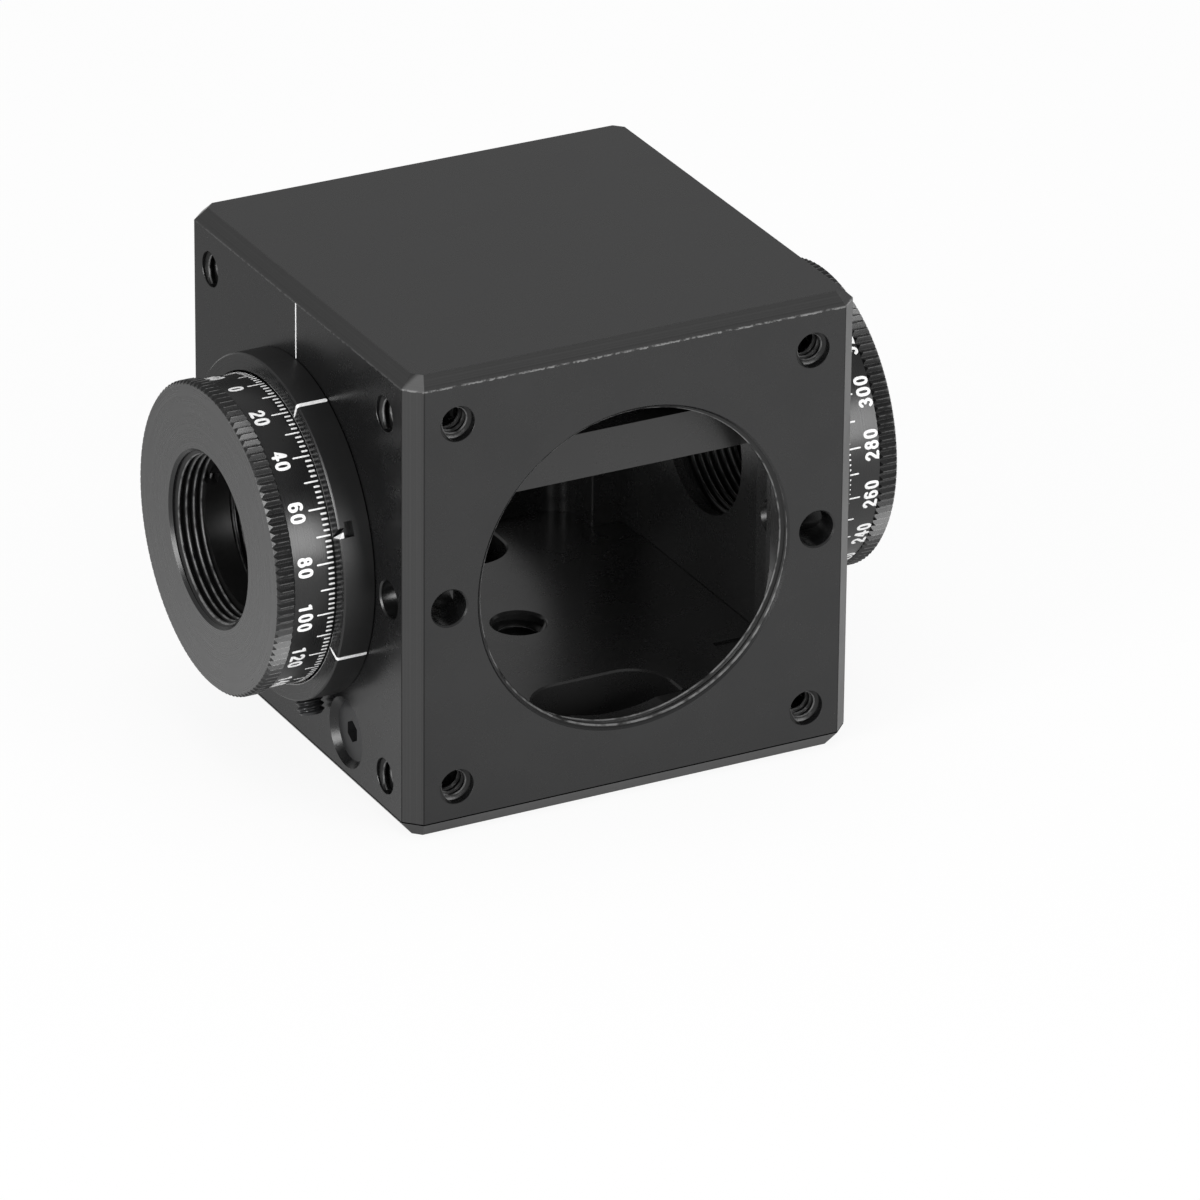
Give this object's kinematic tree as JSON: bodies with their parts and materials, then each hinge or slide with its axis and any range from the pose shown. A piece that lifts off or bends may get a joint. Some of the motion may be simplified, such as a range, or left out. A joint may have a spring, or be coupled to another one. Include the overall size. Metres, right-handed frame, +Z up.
{
  "type": "cage cube",
  "caption": "Black optical cage cube with threaded ports, a drop-in base plate and two graduated rotation mounts on opposite faces.",
  "frame": {"origin": "underside of the cube, below its middle", "axes": "+Z up, -Y out of the front large port, -X and +X out of the two rotation mounts"},
  "size_m": [0.0532, 0.0382, 0.0381],
  "materials": {
    "black_anodised": "bead-blasted, black anodised",
    "dial_anodised": "turned, black anodised, white-filled engraving",
    "dark_screw_steel": "black oxide",
    "spring_steel": "bright spring steel",
    "slip_plastic": "natural acetal",
    "white_marking": "white"
  },
  "bodies": {
    "cube": {"cube_body": "black_anodised", "base_plate": "black_anodised", "base_plate_screws": "dark_screw_steel", "plate_guide_screws": "dark_screw_steel", "plate_springs": "spring_steel", "left_flange": "black_anodised", "right_flange": "black_anodised", "left_slip_washer": "slip_plastic", "right_slip_washer": "slip_plastic", "left_disc_spring": "spring_steel", "right_disc_spring": "spring_steel"},
    "clamp_plate": {"pressure_plate": "black_anodised"},
    "left_rotor": {"left_dial": "dial_anodised", "left_keeper_ring": "black_anodised"},
    "left_ring": {"left_optic_ring": "black_anodised"},
    "left_lock": {"left_lock_screw": "dark_screw_steel", "left_lock_tip": "white_marking"},
    "right_rotor": {"right_dial": "dial_anodised", "right_keeper_ring": "black_anodised"},
    "right_ring": {"right_optic_ring": "black_anodised"},
    "right_lock": {"right_lock_screw": "dark_screw_steel", "right_lock_tip": "white_marking"}
  },
  "joints": [
    {"name": "left_dial_turn", "type": "hinge", "parent": "cube", "child": "left_rotor", "pos_m": [-0.0228, 0, 0.01905], "axis": [-1, 0, 0], "continuous": true},
    {"name": "left_optic_ring_travel", "type": "slide", "parent": "left_rotor", "child": "left_ring", "axis": [-1, 0, 0], "range_m": [-0.00381, 0.00191]},
    {"name": "left_lock_travel", "type": "slide", "parent": "cube", "child": "left_lock", "axis": [0, -0.342, -0.9397], "range_m": [0, 0.000907]},
    {"name": "right_dial_turn", "type": "hinge", "parent": "cube", "child": "right_rotor", "pos_m": [0.0228, 0, 0.01905], "axis": [1, 0, 0], "continuous": true},
    {"name": "right_optic_ring_travel", "type": "slide", "parent": "right_rotor", "child": "right_ring", "axis": [1, 0, 0], "range_m": [-0.00381, 0.00191]},
    {"name": "right_lock_travel", "type": "slide", "parent": "cube", "child": "right_lock", "axis": [0, 0.342, -0.9397], "range_m": [0, 0.000907]},
    {"name": "pressure_plate_lift", "type": "slide", "parent": "cube", "child": "clamp_plate", "axis": [0, 0, 1], "range_m": [0, 0.0035], "stiffness_N_per_m": 300, "springref_m": -0.002, "deforming": ["plate_springs"]}
  ]
}
